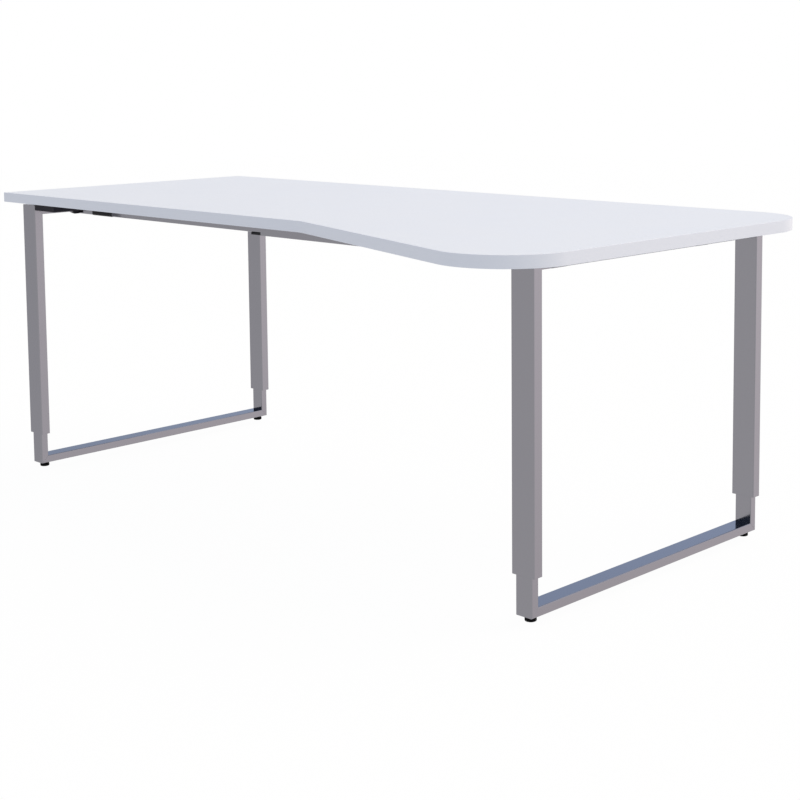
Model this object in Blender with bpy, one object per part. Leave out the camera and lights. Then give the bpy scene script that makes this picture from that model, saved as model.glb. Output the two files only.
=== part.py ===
"""Height-adjustable desk on two telescoping loop legs.

Frame: metres, +X along the worktop to its wide end, +Y to the back edge, +Z up.
Origin on the floor, under the middle of the worktop's length and of its greatest depth.
"""
import math

import bmesh
import bpy
from mathutils import Matrix, Vector

# Worktop
WORKTOP_LENGTH = 2.000
NARROW_DEPTH = 0.800
WIDE_DEPTH = 1.000
WORKTOP_HEIGHT = 0.740
WORKTOP_THICKNESS = 0.025
BAND_THICKNESS = 0.002
STRAIGHT_FRONT = 1.200
BEND_RADIUS = 0.100
FRONT_CORNER_RADIUS = 0.145
BACK_CORNER_RADIUS = 0.140

# Outer tubes and the side rails mitred to them
TUBE_WIDTH = 0.057
TUBE_DEPTH = 0.025
TUBE_WALL = 0.0015
TUBE_CORNER = 0.002
TUBE_CLEARANCE = 0.093
LEFT_LOOP_INSET = 0.074
RIGHT_LOOP_INSET = 0.135
FRONT_LOOP_INSET = 0.012
BACK_LOOP_INSET = 0.001

# Inner uprights and the floor runners mitred to them
UPRIGHT_WIDTH = 0.041
UPRIGHT_DEPTH = 0.0195
UPRIGHT_WALL = 0.0015
UPRIGHT_CORNER = 0.0018
UPRIGHT_SETBACK = 0.0664
RUNNER_CLEARANCE = 0.012

# Plastic guides between the two tubes
SLEEVE_HEIGHT = 0.030
SLEEVE_SETBACK = 0.002
SHOE_HEAD = 0.015
SHOE_NECK = 0.025

# Levelling feet and the threaded inserts that hold them
FOOT_RADIUS = 0.012
FOOT_THICKNESS = 0.008
FOOT_EDGE = 0.002
FOOT_INSET = 0.020
STEM_RADIUS = 0.004
STEM_TOP_GAP = 0.001
INSERT_RADIUS = 0.006
INSERT_FLANGE_RADIUS = 0.008
INSERT_FLANGE = 0.0012
INSERT_LENGTH = 0.011

# Clamp screws that hold the set height, and their rivet nuts
CLAMP_HEIGHT = 0.055
CLAMP_RADIUS = 0.003
CLAMP_HEAD_RADIUS = 0.0055
CLAMP_HEAD = 0.0035
NUT_RADIUS = 0.0048
NUT_FLANGE_RADIUS = 0.0065
NUT_FLANGE = 0.001
NUT_LENGTH = 0.0045

# Steel lugs under the worktop and the screws that go up through them
LUG_THICKNESS = 0.003
LUG_REACH = 0.038
LUG_LENGTH = 0.070
LUG_CORNER = 0.008
LUG_PAST_BEAM = 0.030
SCREW_RADIUS = 0.0022
SCREW_HEAD_RADIUS = 0.0048
SCREW_HEAD = 0.0025
SCREW_DEPTH = 0.016
SCREW_SPACING = 0.044

# Telescoping cross beams
BEAM_OUTER_HEIGHT = 0.040
BEAM_OUTER_DEPTH = 0.030
BEAM_INNER_HEIGHT = 0.028
BEAM_INNER_DEPTH = 0.020
BEAM_WALL = 0.002
BEAM_CORNER = 0.003
BEAM_INSET = 0.141
BEAM_MOUTH = 0.909
BEAM_OVERLAP = 0.220
COLLAR_LIP = 0.041
COLLAR_NECK = 0.030
LOCK_RADIUS = 0.0025
LOCK_HEAD_RADIUS = 0.0042
LOCK_HEAD = 0.0025

# Black brackets that join the beams to the side rails
BRACKET_PLATE = 0.003
BRACKET_DROP = 0.017
BRACKET_MARGIN = 0.009
TRAY_REACH = 0.095
TRAY_WALL = 0.003
TRAY_BEAM_GAP = 0.004
HOOK_REACH = 0.024
HOOK_TIP = 0.0015
PLUG_LENGTH = 0.016
BRACKET_SCREW_RADIUS = 0.002
BRACKET_SCREW_HEAD_RADIUS = 0.0038
BRACKET_SCREW_HEAD = 0.002
BRACKET_SCREW_LENGTH = 0.010
BRACKET_SCREW_RISE = 0.006

# Black sleeve round each inner beam, near its bracket
SLEEVE_START = 0.065
SLEEVE_LENGTH = 0.088
SLEEVE_WALL = 0.0008

# Fits and facets
FIT_GAP = 0.0003
OVERRUN = 0.002
CORNER_STEPS = 3
BEND_STEPS = 4
WIDE_CORNER_STEPS = 12
FOOT_SIDES = 24
ROUND_SIDES = 16
SCREW_SIDES = 12
SMOOTH_ANGLE = math.radians(32.0)

# Places worked out from the sizes
WIDE_FRONT = -WIDE_DEPTH / 2
BACK_EDGE = WIDE_DEPTH / 2
NARROW_FRONT = BACK_EDGE - NARROW_DEPTH
LEFT_END = -WORKTOP_LENGTH / 2
RIGHT_END = WORKTOP_LENGTH / 2
UNDERSIDE = WORKTOP_HEIGHT - WORKTOP_THICKNESS
LUG_TOP = UNDERSIDE - FIT_GAP
LUG_BOTTOM = LUG_TOP - LUG_THICKNESS
RAIL_TOP = LUG_BOTTOM - FIT_GAP
RAIL_BOTTOM = RAIL_TOP - TUBE_DEPTH
UPRIGHT_TOP = RAIL_BOTTOM - UPRIGHT_SETBACK
RUNNER_TOP = RUNNER_CLEARANCE + UPRIGHT_DEPTH
LOOP_X = {
    "left": LEFT_END + LEFT_LOOP_INSET + TUBE_WIDTH / 2,
    "right": RIGHT_END - RIGHT_LOOP_INSET - TUBE_WIDTH / 2,
}
LEG_Y = {
    "front": NARROW_FRONT + FRONT_LOOP_INSET + TUBE_DEPTH / 2,
    "back": BACK_EDGE - BACK_LOOP_INSET - TUBE_DEPTH / 2,
}
INWARD_X = {"left": 1, "right": -1}
INWARD_Y = {"front": 1, "back": -1}
SIDES = ("left", "right")
ENDS = ("front", "back")
MITRE_GAP = FIT_GAP * math.sqrt(2)
BEAM_Y = {
    "front": NARROW_FRONT + BEAM_INSET + BEAM_OUTER_DEPTH / 2,
    "back": BACK_EDGE - BEAM_INSET - BEAM_OUTER_DEPTH / 2,
}
BEAM_Z = UNDERSIDE - FIT_GAP - BEAM_OUTER_HEIGHT / 2
MOUTH_X = LEFT_END + BEAM_MOUTH
LOOP_MIDDLE_Y = (LEG_Y["front"] + LEG_Y["back"]) / 2


def clear_scene():
    """Empties the scene, so that only the desk is in it."""
    for item in list(bpy.data.objects):
        bpy.data.objects.remove(item, do_unlink=True)


def principled(name, colour, roughness, metallic):
    """Principled material with a colour in linear light."""
    material = bpy.data.materials.new(name)
    material.use_nodes = True
    shader = material.node_tree.nodes["Principled BSDF"]
    shader.inputs["Base Color"].default_value = (*colour, 1.0)
    shader.inputs["Roughness"].default_value = roughness
    shader.inputs["Metallic"].default_value = metallic
    material.diffuse_color = (*colour, 1.0)
    return material


def desk_materials():
    """The finishes of the desk, by the name of their slot."""
    return {
        "white_laminate": principled("white_laminate", (0.80, 0.81, 0.84), 0.45, 0.0),
        "white_edging": principled("white_edging", (0.76, 0.77, 0.81), 0.40, 0.0),
        "silver_frame": principled("silver_frame", (0.45, 0.44, 0.46), 0.30, 0.9),
        "zinc_steel": principled("zinc_steel", (0.55, 0.55, 0.56), 0.35, 1.0),
        "black_coat": principled("black_coat", (0.018, 0.018, 0.020), 0.50, 0.0),
        "black_plastic": principled("black_plastic", (0.012, 0.012, 0.013), 0.45, 0.0),
    }


def add_piece(name, form, material, parent=None, place=(0, 0, 0)):
    """Object with its origin at place, made from a bmesh in the object's own frame."""
    mesh = bpy.data.meshes.new(name)
    bmesh.ops.recalc_face_normals(form, faces=form.faces)
    form.to_mesh(mesh)
    form.free()
    mesh.materials.append(material)
    mesh.shade_smooth()
    mesh.set_sharp_from_angle(angle=SMOOTH_ANGLE)
    piece = bpy.data.objects.new(name, mesh)
    bpy.context.scene.collection.objects.link(piece)
    piece.location = place
    if parent is not None:
        piece.parent = parent
        piece.location = Vector(place) - parent.location
    return piece


def add_anchor(name, place):
    """Empty that stands on a joint's axis and carries the pieces that move on it."""
    anchor = bpy.data.objects.new(name, None)
    anchor.location = place
    bpy.context.scene.collection.objects.link(anchor)
    return anchor


def add_cutter(name, form, place=(0, 0, 0)):
    """Wire object that a Boolean reads, left out of the finished desk."""
    mesh = bpy.data.meshes.new(name)
    bmesh.ops.recalc_face_normals(form, faces=form.faces)
    form.to_mesh(mesh)
    form.free()
    cutter = bpy.data.objects.new(name, mesh)
    cutter.location = place
    cutter.display_type = "WIRE"
    cutter.hide_render = True
    bpy.context.scene.collection.objects.link(cutter)
    return cutter


def combine(piece, other, operation):
    """Boolean between a piece and a cutter."""
    modifier = piece.modifiers.new(other.name, "BOOLEAN")
    modifier.operation = operation
    modifier.object = other
    modifier.solver = "EXACT"


def skin(rings, hollow, form=None):
    """Closed body over rings of points; a hollow one joins its last ring to its first."""
    form = form or bmesh.new()
    rows = [[form.verts.new(point) for point in ring] for ring in rings]
    following = rows[1:] + rows[:1] if hollow else rows[1:]
    for low, high in zip(rows, following):
        for index, vertex in enumerate(low):
            beside = (index + 1) % len(low)
            form.faces.new((vertex, low[beside], high[beside], high[index]))
    if not hollow:
        form.faces.new(list(reversed(rows[0])))
        form.faces.new(rows[-1])
    return form


def rounded_rectangle(width, depth, radius):
    """Outline about the middle, anticlockwise, with round corners."""
    points = []
    for quarter, (right, up) in enumerate(((1, 1), (-1, 1), (-1, -1), (1, -1))):
        for step in range(CORNER_STEPS + 1):
            angle = (quarter + step / CORNER_STEPS) * math.pi / 2
            points.append((
                right * (width / 2 - radius) + radius * math.cos(angle),
                up * (depth / 2 - radius) + radius * math.sin(angle),
            ))
    return points


def bar(outline, start, end, place):
    """Solid along one axis; start and end give each end's cut at a point of the outline."""
    return skin([
        [place(a, b, start(a, b)) for a, b in outline],
        [place(a, b, end(a, b)) for a, b in outline],
    ], hollow=False)


def tube(width, depth, wall, radius, start, end, place):
    """Rectangular tube along one axis, open at both of its cut ends."""
    outer = rounded_rectangle(width, depth, radius)
    bore_radius = max(radius - wall, radius / CORNER_STEPS)
    inner = rounded_rectangle(width - 2 * wall, depth - 2 * wall, bore_radius)
    return skin([
        [place(a, b, start(a, b)) for a, b in outer],
        [place(a, b, end(a, b)) for a, b in outer],
        [place(a, b, end(a, b)) for a, b in inner],
        [place(a, b, start(a, b)) for a, b in inner],
    ], hollow=True)


def level(value):
    """Square cut at one place along the axis."""
    return lambda a, b: value


def along_x(a, b, c):
    return (c, a, b)


def along_y(a, b, c):
    return (a, c, b)


def along_z(a, b, c):
    return (a, b, c)


def block(low, high, form=None):
    """Box between two opposite corners."""
    form = form or bmesh.new()
    size = Vector(high) - Vector(low)
    middle = (Vector(high) + Vector(low)) / 2
    matrix = Matrix.Translation(middle) @ Matrix.Diagonal((*size, 1.0))
    bmesh.ops.create_cube(form, size=1.0, matrix=matrix)
    return form


def turned(profile, sides, place=along_z, form=None, at=(0, 0, 0)):
    """Solid of revolution from radius and height pairs, flat at both ends."""
    rings = []
    for radius, height in profile:
        ring = []
        for side in range(sides):
            angle = 2 * math.pi * side / sides
            point = place(radius * math.cos(angle), radius * math.sin(angle), height)
            ring.append(Vector(point) + Vector(at))
        rings.append(ring)
    return skin(rings, False, form)


def turned_ring(profile, sides, place=along_z, form=None, at=(0, 0, 0)):
    """Ring of revolution: the profile's last pair joins its first."""
    rings = []
    for radius, height in profile:
        ring = []
        for side in range(sides):
            angle = 2 * math.pi * side / sides
            point = place(radius * math.cos(angle), radius * math.sin(angle), height)
            ring.append(Vector(point) + Vector(at))
        rings.append(ring)
    return skin(rings, True, form)


def arc(centre, radius, first, last, steps):
    """Points of a round stretch from the first angle to the last."""
    points = []
    for step in range(steps + 1):
        angle = first + (last - first) * step / steps
        points.append((centre[0] + radius * math.cos(angle), centre[1] + radius * math.sin(angle)))
    return points


def worktop_outline(inset):
    """Plan of the worktop, anticlockwise from the back left corner, drawn in by inset.

    The slanted edge is the line that touches both round stretches beside it: the bend's,
    whose centre is outside the worktop, and the wide corner's, whose centre is inside.
    """
    bend = Vector((LEFT_END + STRAIGHT_FRONT, NARROW_FRONT - BEND_RADIUS))
    corner = Vector((RIGHT_END - FRONT_CORNER_RADIUS, WIDE_FRONT + FRONT_CORNER_RADIUS))
    back = (RIGHT_END - BACK_CORNER_RADIUS, BACK_EDGE - BACK_CORNER_RADIUS)
    span = corner - bend
    lean = math.asin((BEND_RADIUS + FRONT_CORNER_RADIUS) / span.length)
    slant = math.atan2(span.y, span.x) - lean
    quarter = math.pi / 2
    left = LEFT_END + inset
    outline = [(left, BACK_EDGE - inset), (left, NARROW_FRONT + inset)]
    outline += arc(bend, BEND_RADIUS + inset, quarter, quarter + slant, BEND_STEPS)
    outline += arc(corner, FRONT_CORNER_RADIUS - inset, slant - quarter, -quarter, BEND_STEPS)[:-1]
    outline += arc(corner, FRONT_CORNER_RADIUS - inset, -quarter, 0, WIDE_CORNER_STEPS)
    outline += arc(back, BACK_CORNER_RADIUS - inset, 0, quarter, WIDE_CORNER_STEPS)
    return outline


def leg_name(piece, end, side):
    """Name of a piece that each leg has."""
    return f"{piece}_{end}_{side}"


def lug_places(end, side):
    """Middle of one lug along Y, and the screws that go through its inboard wing."""
    inward = INWARD_X[side]
    past_beam = BEAM_OUTER_DEPTH / 2 + LUG_PAST_BEAM + LUG_LENGTH / 2
    middle = BEAM_Y[end] + INWARD_Y[end] * past_beam
    screw_x = LOOP_X[side] + inward * (TUBE_WIDTH / 2 + LUG_REACH / 2)
    screws = [(screw_x, middle + sign * SCREW_SPACING / 2) for sign in (-1, 1)]
    return middle, screws


def worktop_screw_places():
    """All screws into the worktop, as plan points."""
    return [place for side in SIDES for end in ENDS for place in lug_places(end, side)[1]]


def make_worktop(materials, carriage):
    """Laminated board with its pilot holes, and the edging that runs right round it."""
    core = worktop_outline(BAND_THICKNESS + FIT_GAP)
    form = bar(core, level(UNDERSIDE), level(WORKTOP_HEIGHT), along_z)
    board = add_piece("worktop_board", form, materials["white_laminate"], carriage)
    holes = bmesh.new()
    for x, y in worktop_screw_places():
        radius = SCREW_RADIUS + FIT_GAP
        profile = [(radius, UNDERSIDE - OVERRUN), (radius, UNDERSIDE + SCREW_DEPTH + FIT_GAP)]
        turned(profile, SCREW_SIDES, form=holes, at=(x, y, 0))
    combine(board, add_cutter("pilot_holes", holes), "DIFFERENCE")
    outer = worktop_outline(0)
    inner = worktop_outline(BAND_THICKNESS)
    band = skin([
        [(x, y, UNDERSIDE) for x, y in outer],
        [(x, y, WORKTOP_HEIGHT) for x, y in outer],
        [(x, y, WORKTOP_HEIGHT) for x, y in inner],
        [(x, y, UNDERSIDE) for x, y in inner],
    ], hollow=True)
    add_piece("edge_band", band, materials["white_edging"], carriage)


def make_outer_tube(end, side, materials, carriage):
    """Leg tube, mitred to the side rail at its top, with the rivet nut's hole."""
    inward = INWARD_Y[end]
    height = RAIL_TOP - TUBE_CLEARANCE
    form = tube(
        TUBE_WIDTH, TUBE_DEPTH, TUBE_WALL, TUBE_CORNER, level(0),
        lambda a, b: height - MITRE_GAP - TUBE_DEPTH / 2 - inward * b, along_z,
    )
    place = (LOOP_X[side], LEG_Y[end], TUBE_CLEARANCE)
    name = leg_name("outer_tube", end, side)
    piece = add_piece(name, form, materials["silver_frame"], carriage, place)
    radius = NUT_RADIUS + FIT_GAP
    left_face = -TUBE_WIDTH / 2
    profile = [(radius, left_face - OVERRUN), (radius, left_face + TUBE_WALL + OVERRUN)]
    hole = turned(profile, SCREW_SIDES, along_x, at=(0, 0, CLAMP_HEIGHT))
    combine(piece, add_cutter(name + "_nut_hole", hole, place), "DIFFERENCE")


def make_side_rail(side, materials, carriage):
    """Tube under the worktop between the front and back legs, mitred at both ends."""
    reach = (LEG_Y["back"] - LEG_Y["front"] + TUBE_DEPTH) / 2
    form = tube(
        TUBE_WIDTH, TUBE_DEPTH, TUBE_WALL, TUBE_CORNER,
        lambda a, b: -reach + TUBE_DEPTH / 2 - b,
        lambda a, b: reach - TUBE_DEPTH / 2 + b, along_y,
    )
    place = (LOOP_X[side], LOOP_MIDDLE_Y, RAIL_TOP - TUBE_DEPTH / 2)
    name = "side_rail_" + side
    rail = add_piece(name, form, materials["silver_frame"], carriage, place)
    holes = bmesh.new()
    face = LOOP_X[side] + INWARD_X[side] * TUBE_WIDTH / 2
    radius = BRACKET_SCREW_RADIUS + FIT_GAP
    profile = [(radius, face - TUBE_WALL - OVERRUN), (radius, face + TUBE_WALL + OVERRUN)]
    for end in ENDS:
        for y in bracket_screw_rows(end):
            turned(profile, SCREW_SIDES, along_x, holes, (0, y, RAIL_BOTTOM + BRACKET_SCREW_RISE))
    combine(rail, add_cutter(name + "_screw_holes", holes), "DIFFERENCE")


def make_lug(end, side, materials, carriage):
    """Flat steel lug on the rail, whose inboard wing is screwed up into the worktop."""
    middle, screws = lug_places(end, side)
    width = TUBE_WIDTH + LUG_REACH
    x = LOOP_X[side] + INWARD_X[side] * LUG_REACH / 2
    outline = rounded_rectangle(width, LUG_LENGTH, LUG_CORNER)
    form = bar(outline, level(-LUG_THICKNESS / 2), level(LUG_THICKNESS / 2), along_z)
    place = (x, middle, LUG_TOP - LUG_THICKNESS / 2)
    name = leg_name("worktop_lug", end, side)
    lug = add_piece(name, form, materials["zinc_steel"], carriage, place)
    radius = SCREW_RADIUS + FIT_GAP
    profile = [(radius, LUG_BOTTOM - OVERRUN), (radius, LUG_TOP + OVERRUN)]
    holes = bmesh.new()
    for screw_x, screw_y in screws:
        turned(profile, SCREW_SIDES, form=holes, at=(screw_x, screw_y, 0))
    combine(lug, add_cutter(name + "_holes", holes), "DIFFERENCE")


def make_worktop_screws(end, side, materials, carriage):
    """Pan-head screws, up through one lug and into the board."""
    seat = LUG_BOTTOM - FIT_GAP - UNDERSIDE
    crown = SCREW_HEAD_RADIUS - SCREW_HEAD / 2
    profile = [
        (crown, seat - SCREW_HEAD),
        (SCREW_HEAD_RADIUS, seat - SCREW_HEAD / 2),
        (SCREW_HEAD_RADIUS, seat),
        (SCREW_RADIUS, seat),
        (SCREW_RADIUS, SCREW_DEPTH - SCREW_HEAD),
        (SCREW_RADIUS / 2, SCREW_DEPTH),
    ]
    for number, (x, y) in enumerate(lug_places(end, side)[1], 1):
        name = f"{leg_name('worktop_screw', end, side)}_{number}"
        form = turned(profile, SCREW_SIDES)
        add_piece(name, form, materials["zinc_steel"], carriage, (x, y, UNDERSIDE))


def bracket_screw_rows(end):
    """Where the two screws of a bracket stand along Y, one on each side of the beam."""
    aside = (BEAM_OUTER_DEPTH + BRACKET_MARGIN) / 2
    return BEAM_Y[end] - aside, BEAM_Y[end] + aside


def bracket_tray(end, face, far):
    """Open-topped tray under the worktop, from the leg's outer face to just short of the beam."""
    inward = INWARD_Y[end]
    leg = LEG_Y[end] - inward * TUBE_DEPTH / 2
    beam = BEAM_Y[end] - inward * (BEAM_OUTER_DEPTH / 2 + TRAY_BEAM_GAP)
    left, right = sorted((face, far))
    front, back = sorted((leg, beam))
    bottom = UNDERSIDE - BRACKET_DROP
    tray = block((left, front, bottom), (right, back, LUG_TOP))
    pocket = block(
        (left + TRAY_WALL, front + TRAY_WALL, bottom + TRAY_WALL),
        (right - TRAY_WALL, back - TRAY_WALL, UNDERSIDE + OVERRUN),
    )
    return tray, pocket


def make_beam_bracket(end, side, materials, carriage):
    """Tray under the worktop, plate on the rail, hook under the rail and plug in the beam."""
    inward = INWARD_X[side]
    face = LOOP_X[side] + inward * (TUBE_WIDTH / 2 + FIT_GAP)
    seat = face + inward * BRACKET_PLATE
    name = leg_name("beam_bracket", end, side)
    tray, pocket = bracket_tray(end, face, face + inward * TRAY_REACH)
    bracket = add_piece(name, tray, materials["black_coat"], carriage)
    combine(bracket, add_cutter(name + "_pocket", pocket), "DIFFERENCE")
    height = BEAM_INNER_HEIGHT if side == "left" else BEAM_OUTER_HEIGHT
    depth = BEAM_INNER_DEPTH if side == "left" else BEAM_OUTER_DEPTH
    bottom = BEAM_Z - height / 2
    under_rail = RAIL_BOTTOM - FIT_GAP
    tip = face - inward * HOOK_REACH
    outline = [
        (tip, under_rail),
        (tip, under_rail - HOOK_TIP),
        (face, bottom),
        (seat, bottom),
        (seat, RAIL_TOP),
        (face, RAIL_TOP),
        (face, under_rail),
    ]
    reach = BEAM_OUTER_DEPTH / 2 + BRACKET_MARGIN
    hook = bar(outline, level(BEAM_Y[end] - reach), level(BEAM_Y[end] + reach), along_y)
    combine(bracket, add_cutter(name + "_hook", hook), "UNION")
    bore = 2 * (FIT_GAP + BEAM_WALL)
    outline = rounded_rectangle(depth - bore, height - bore, BEAM_CORNER / 2)
    start, far = seat - inward * BRACKET_PLATE / 2, seat + inward * PLUG_LENGTH
    plug = bar(outline, level(start), level(far), along_x)
    combine(bracket, add_cutter(name + "_plug", plug, (0, BEAM_Y[end], BEAM_Z)), "UNION")
    screws = bracket_screws(end, seat, inward)
    combine(bracket, add_cutter(name + "_screws", screws), "UNION")


def bracket_screws(end, seat, inward):
    """Both screws of a bracket, set in its plate and reaching through the rail's wall."""
    profile = [
        (BRACKET_SCREW_RADIUS, seat - inward * BRACKET_SCREW_LENGTH),
        (BRACKET_SCREW_RADIUS, seat - inward * BRACKET_PLATE / 2),
        (BRACKET_SCREW_HEAD_RADIUS, seat - inward * BRACKET_PLATE / 2),
        (BRACKET_SCREW_HEAD_RADIUS, seat + inward * BRACKET_SCREW_HEAD / 2),
        (BRACKET_SCREW_RADIUS, seat + inward * BRACKET_SCREW_HEAD),
    ]
    form = bmesh.new()
    for y in bracket_screw_rows(end):
        turned(profile, SCREW_SIDES, along_x, form, (0, y, RAIL_BOTTOM + BRACKET_SCREW_RISE))
    return form


def make_beam(end, materials, carriage):
    """Telescoping cross beam: inner tube with its black sleeve, outer tube and collar."""
    plate = TUBE_WIDTH / 2 + BRACKET_PLATE + 2 * FIT_GAP
    start = LOOP_X["left"] + plate - MOUTH_X
    finish = LOOP_X["right"] - plate - MOUTH_X
    place = (MOUTH_X, BEAM_Y[end], BEAM_Z)
    form = tube(
        BEAM_INNER_DEPTH, BEAM_INNER_HEIGHT, BEAM_WALL, BEAM_CORNER,
        level(start), level(BEAM_OVERLAP), along_x,
    )
    inner = add_piece(end + "_beam_inner", form, materials["silver_frame"], carriage, place)
    wrap = 2 * SLEEVE_WALL
    around = start + SLEEVE_START
    form = tube(
        BEAM_INNER_DEPTH + wrap, BEAM_INNER_HEIGHT + wrap, SLEEVE_WALL + BEAM_WALL / 2,
        BEAM_CORNER + SLEEVE_WALL, level(around), level(around + SLEEVE_LENGTH), along_x,
    )
    combine(inner, add_cutter(end + "_beam_sleeve", form, place), "UNION")
    form = tube(
        BEAM_OUTER_DEPTH, BEAM_OUTER_HEIGHT, BEAM_WALL, BEAM_CORNER,
        level(0), level(finish), along_x,
    )
    outer = add_piece(end + "_beam_outer", form, materials["silver_frame"], carriage, place)
    make_collar(end, materials, carriage, place)
    combine(outer, add_cutter(end + "_beam_lock_screw", lock_screw(), place), "UNION")


def lock_screw():
    """Screw set in the outer beam's back wall, which fixes the length chosen at assembly."""
    seat = BEAM_OUTER_DEPTH / 2 - BEAM_WALL / 2
    profile = [
        (LOCK_RADIUS, BEAM_INNER_DEPTH / 2 + FIT_GAP),
        (LOCK_RADIUS, seat),
        (LOCK_HEAD_RADIUS, seat),
        (LOCK_HEAD_RADIUS, seat + LOCK_HEAD),
        (LOCK_RADIUS, seat + LOCK_HEAD + BEAM_WALL / 2),
    ]
    return turned(profile, SCREW_SIDES, along_y, at=(COLLAR_NECK / 2, 0, 0))


def make_collar(end, materials, carriage, place):
    """Sleeve in the outer tube's mouth, with a lip under the inner tube in front of it."""
    wall = (BEAM_OUTER_DEPTH - BEAM_INNER_DEPTH) / 2 - BEAM_WALL - 2 * FIT_GAP
    neck_depth = BEAM_OUTER_DEPTH - 2 * (BEAM_WALL + FIT_GAP)
    neck_height = BEAM_OUTER_HEIGHT - 2 * (BEAM_WALL + FIT_GAP)
    bore_height = BEAM_INNER_HEIGHT + 2 * FIT_GAP
    sleeve = rounded_rectangle(neck_depth, neck_height, BEAM_CORNER)
    bore = rounded_rectangle(neck_depth - 2 * wall, bore_height, BEAM_CORNER)
    form = skin([
        [(-COLLAR_LIP / 2, a, b) for a, b in sleeve],
        [(COLLAR_NECK, a, b) for a, b in sleeve],
        [(COLLAR_NECK, a, b) for a, b in bore],
        [(-COLLAR_LIP / 2, a, b) for a, b in bore],
    ], hollow=True)
    name = end + "_beam_collar"
    collar = add_piece(name, form, materials["black_plastic"], carriage, place)
    lip_top = -BEAM_INNER_HEIGHT / 2 - FIT_GAP
    cut = block(
        (-COLLAR_LIP, -BEAM_OUTER_DEPTH, lip_top),
        (-FIT_GAP, BEAM_OUTER_DEPTH, BEAM_OUTER_HEIGHT),
    )
    combine(collar, add_cutter(name + "_mouth_cut", cut, place), "DIFFERENCE")
    lip = block(
        (-COLLAR_LIP, -BEAM_OUTER_DEPTH / 2, -BEAM_OUTER_HEIGHT / 2),
        (-FIT_GAP, BEAM_OUTER_DEPTH / 2, lip_top),
    )
    combine(collar, add_cutter(name + "_lip", lip, place), "UNION")
    radius = LOCK_RADIUS + FIT_GAP
    profile = [(radius, 0), (radius, BEAM_OUTER_DEPTH)]
    hole = turned(profile, SCREW_SIDES, along_y, at=(COLLAR_NECK / 2, 0, 0))
    combine(collar, add_cutter(name + "_lock_hole", hole, place), "DIFFERENCE")


def make_upright(end, side, materials, base):
    """Inner leg tube, mitred to the runner at its foot."""
    inward = INWARD_Y[end]
    form = tube(
        UPRIGHT_WIDTH, UPRIGHT_DEPTH, UPRIGHT_WALL, UPRIGHT_CORNER,
        lambda a, b: MITRE_GAP + UPRIGHT_DEPTH / 2 + inward * b,
        level(UPRIGHT_TOP - RUNNER_CLEARANCE), along_z,
    )
    place = (LOOP_X[side], LEG_Y[end], RUNNER_CLEARANCE)
    add_piece(leg_name("inner_upright", end, side), form, materials["silver_frame"], base, place)


def foot_row(end):
    """Place of a foot along Y, set in from the runner's end."""
    return LEG_Y[end] - INWARD_Y[end] * (UPRIGHT_DEPTH / 2 - FOOT_INSET)


def make_runner(side, materials, base):
    """Floor runner between the two uprights, with a hole for each foot's insert."""
    reach = (LEG_Y["back"] - LEG_Y["front"] + UPRIGHT_DEPTH) / 2
    form = tube(
        UPRIGHT_WIDTH, UPRIGHT_DEPTH, UPRIGHT_WALL, UPRIGHT_CORNER,
        lambda a, b: -reach + UPRIGHT_DEPTH / 2 + b,
        lambda a, b: reach - UPRIGHT_DEPTH / 2 - b, along_y,
    )
    place = (LOOP_X[side], LOOP_MIDDLE_Y, RUNNER_CLEARANCE + UPRIGHT_DEPTH / 2)
    name = "floor_runner_" + side
    runner = add_piece(name, form, materials["silver_frame"], base, place)
    radius = INSERT_RADIUS + FIT_GAP
    profile = [
        (radius, RUNNER_CLEARANCE - OVERRUN),
        (radius, RUNNER_CLEARANCE + UPRIGHT_WALL + OVERRUN),
    ]
    holes = bmesh.new()
    for end in ENDS:
        turned(profile, ROUND_SIDES, form=holes, at=(LOOP_X[side], foot_row(end), 0))
    combine(runner, add_cutter(name + "_insert_holes", holes), "DIFFERENCE")


def make_foot_insert(end, side, materials, base):
    """Flanged threaded insert in the underside of the runner."""
    bore = STEM_RADIUS + FIT_GAP
    profile = [
        (bore, -INSERT_FLANGE),
        (INSERT_FLANGE_RADIUS, -INSERT_FLANGE),
        (INSERT_FLANGE_RADIUS, 0),
        (INSERT_RADIUS, 0),
        (INSERT_RADIUS, INSERT_LENGTH),
        (bore, INSERT_LENGTH),
    ]
    place = (LOOP_X[side], foot_row(end), RUNNER_CLEARANCE - FIT_GAP)
    form = turned_ring(profile, ROUND_SIDES)
    add_piece(leg_name("foot_insert", end, side), form, materials["zinc_steel"], base, place)


def make_foot(end, side, materials, base):
    """Levelling foot: a round pad on a threaded stem, turned about its own axis."""
    stem_top = RUNNER_TOP - UPRIGHT_WALL - STEM_TOP_GAP
    profile = [
        (FOOT_RADIUS - FOOT_EDGE, 0),
        (FOOT_RADIUS, FOOT_EDGE),
        (FOOT_RADIUS, FOOT_THICKNESS - FOOT_EDGE),
        (FOOT_RADIUS - FOOT_EDGE, FOOT_THICKNESS),
        (STEM_RADIUS, FOOT_THICKNESS),
        (STEM_RADIUS, stem_top),
    ]
    form = turned(profile, FOOT_SIDES)
    place = (LOOP_X[side], foot_row(end), 0)
    name = leg_name("levelling_foot", end, side)
    add_piece(name, form, materials["black_plastic"], base, place)


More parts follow.
